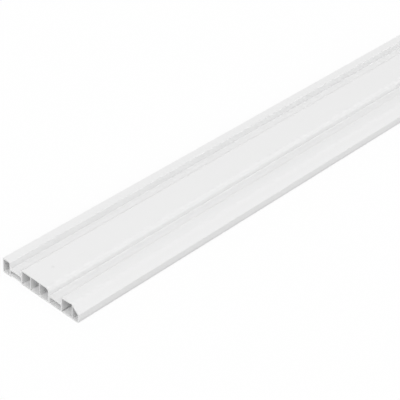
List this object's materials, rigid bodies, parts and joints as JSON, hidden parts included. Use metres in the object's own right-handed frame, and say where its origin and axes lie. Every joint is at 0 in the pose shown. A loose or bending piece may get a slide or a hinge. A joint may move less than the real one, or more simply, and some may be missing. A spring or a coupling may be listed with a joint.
{
  "type": "skirting board",
  "caption": "Length of white hollow-chamber PVC skirting board with a square lip, two face grooves and a chamfered top edge, lying on its flat back.",
  "frame": {"origin": "centre of the flat back, halfway along the length and across the width", "axes": "+X along the length, +Y across the width towards the square lip that stands on the floor once fitted, +Z out of the back, towards the visible face"},
  "size_m": [2.5, 0.1, 0.0174],
  "materials": {
    "white_pvc": "satin"
  },
  "bodies": {
    "root": {"skirting_board": "white_pvc"}
  },
  "joints": []
}
